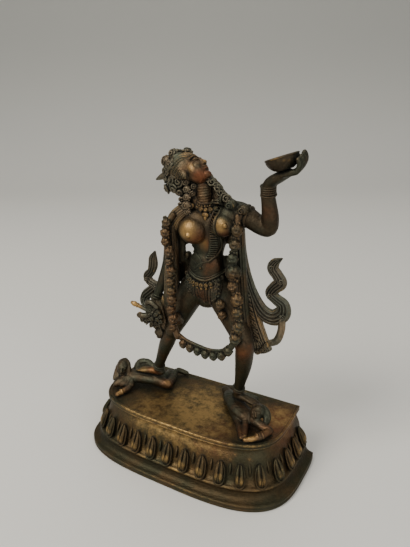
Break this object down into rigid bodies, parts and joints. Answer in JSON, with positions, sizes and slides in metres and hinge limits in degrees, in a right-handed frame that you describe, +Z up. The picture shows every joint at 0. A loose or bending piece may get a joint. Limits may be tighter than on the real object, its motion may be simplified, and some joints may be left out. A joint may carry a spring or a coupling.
{
  "type": "dakini statue",
  "caption": "Cast bronze dakini with a raised skull cup and a long garland of heads, striding over fallen figures on a hollow lotus plinth.",
  "frame": {"origin": "on the floor, under the middle of the plinth", "axes": "+Z up, +X to the viewer's right, and the statue faces -Y"},
  "size_m": [0.13, 0.061, 0.1757],
  "materials": {
    "bronze": "dark brown and olive patina over cast bronze, rubbed golden on the high places",
    "worn_bronze": "dark brown patina over cast bronze, worn to golden brown on the deck and petals"
  },
  "bodies": {
    "root": {"lotus_plinth": "worn_bronze", "dakini": "bronze", "fallen_figure_left": "bronze", "fallen_figure_right": "bronze"}
  },
  "joints": []
}
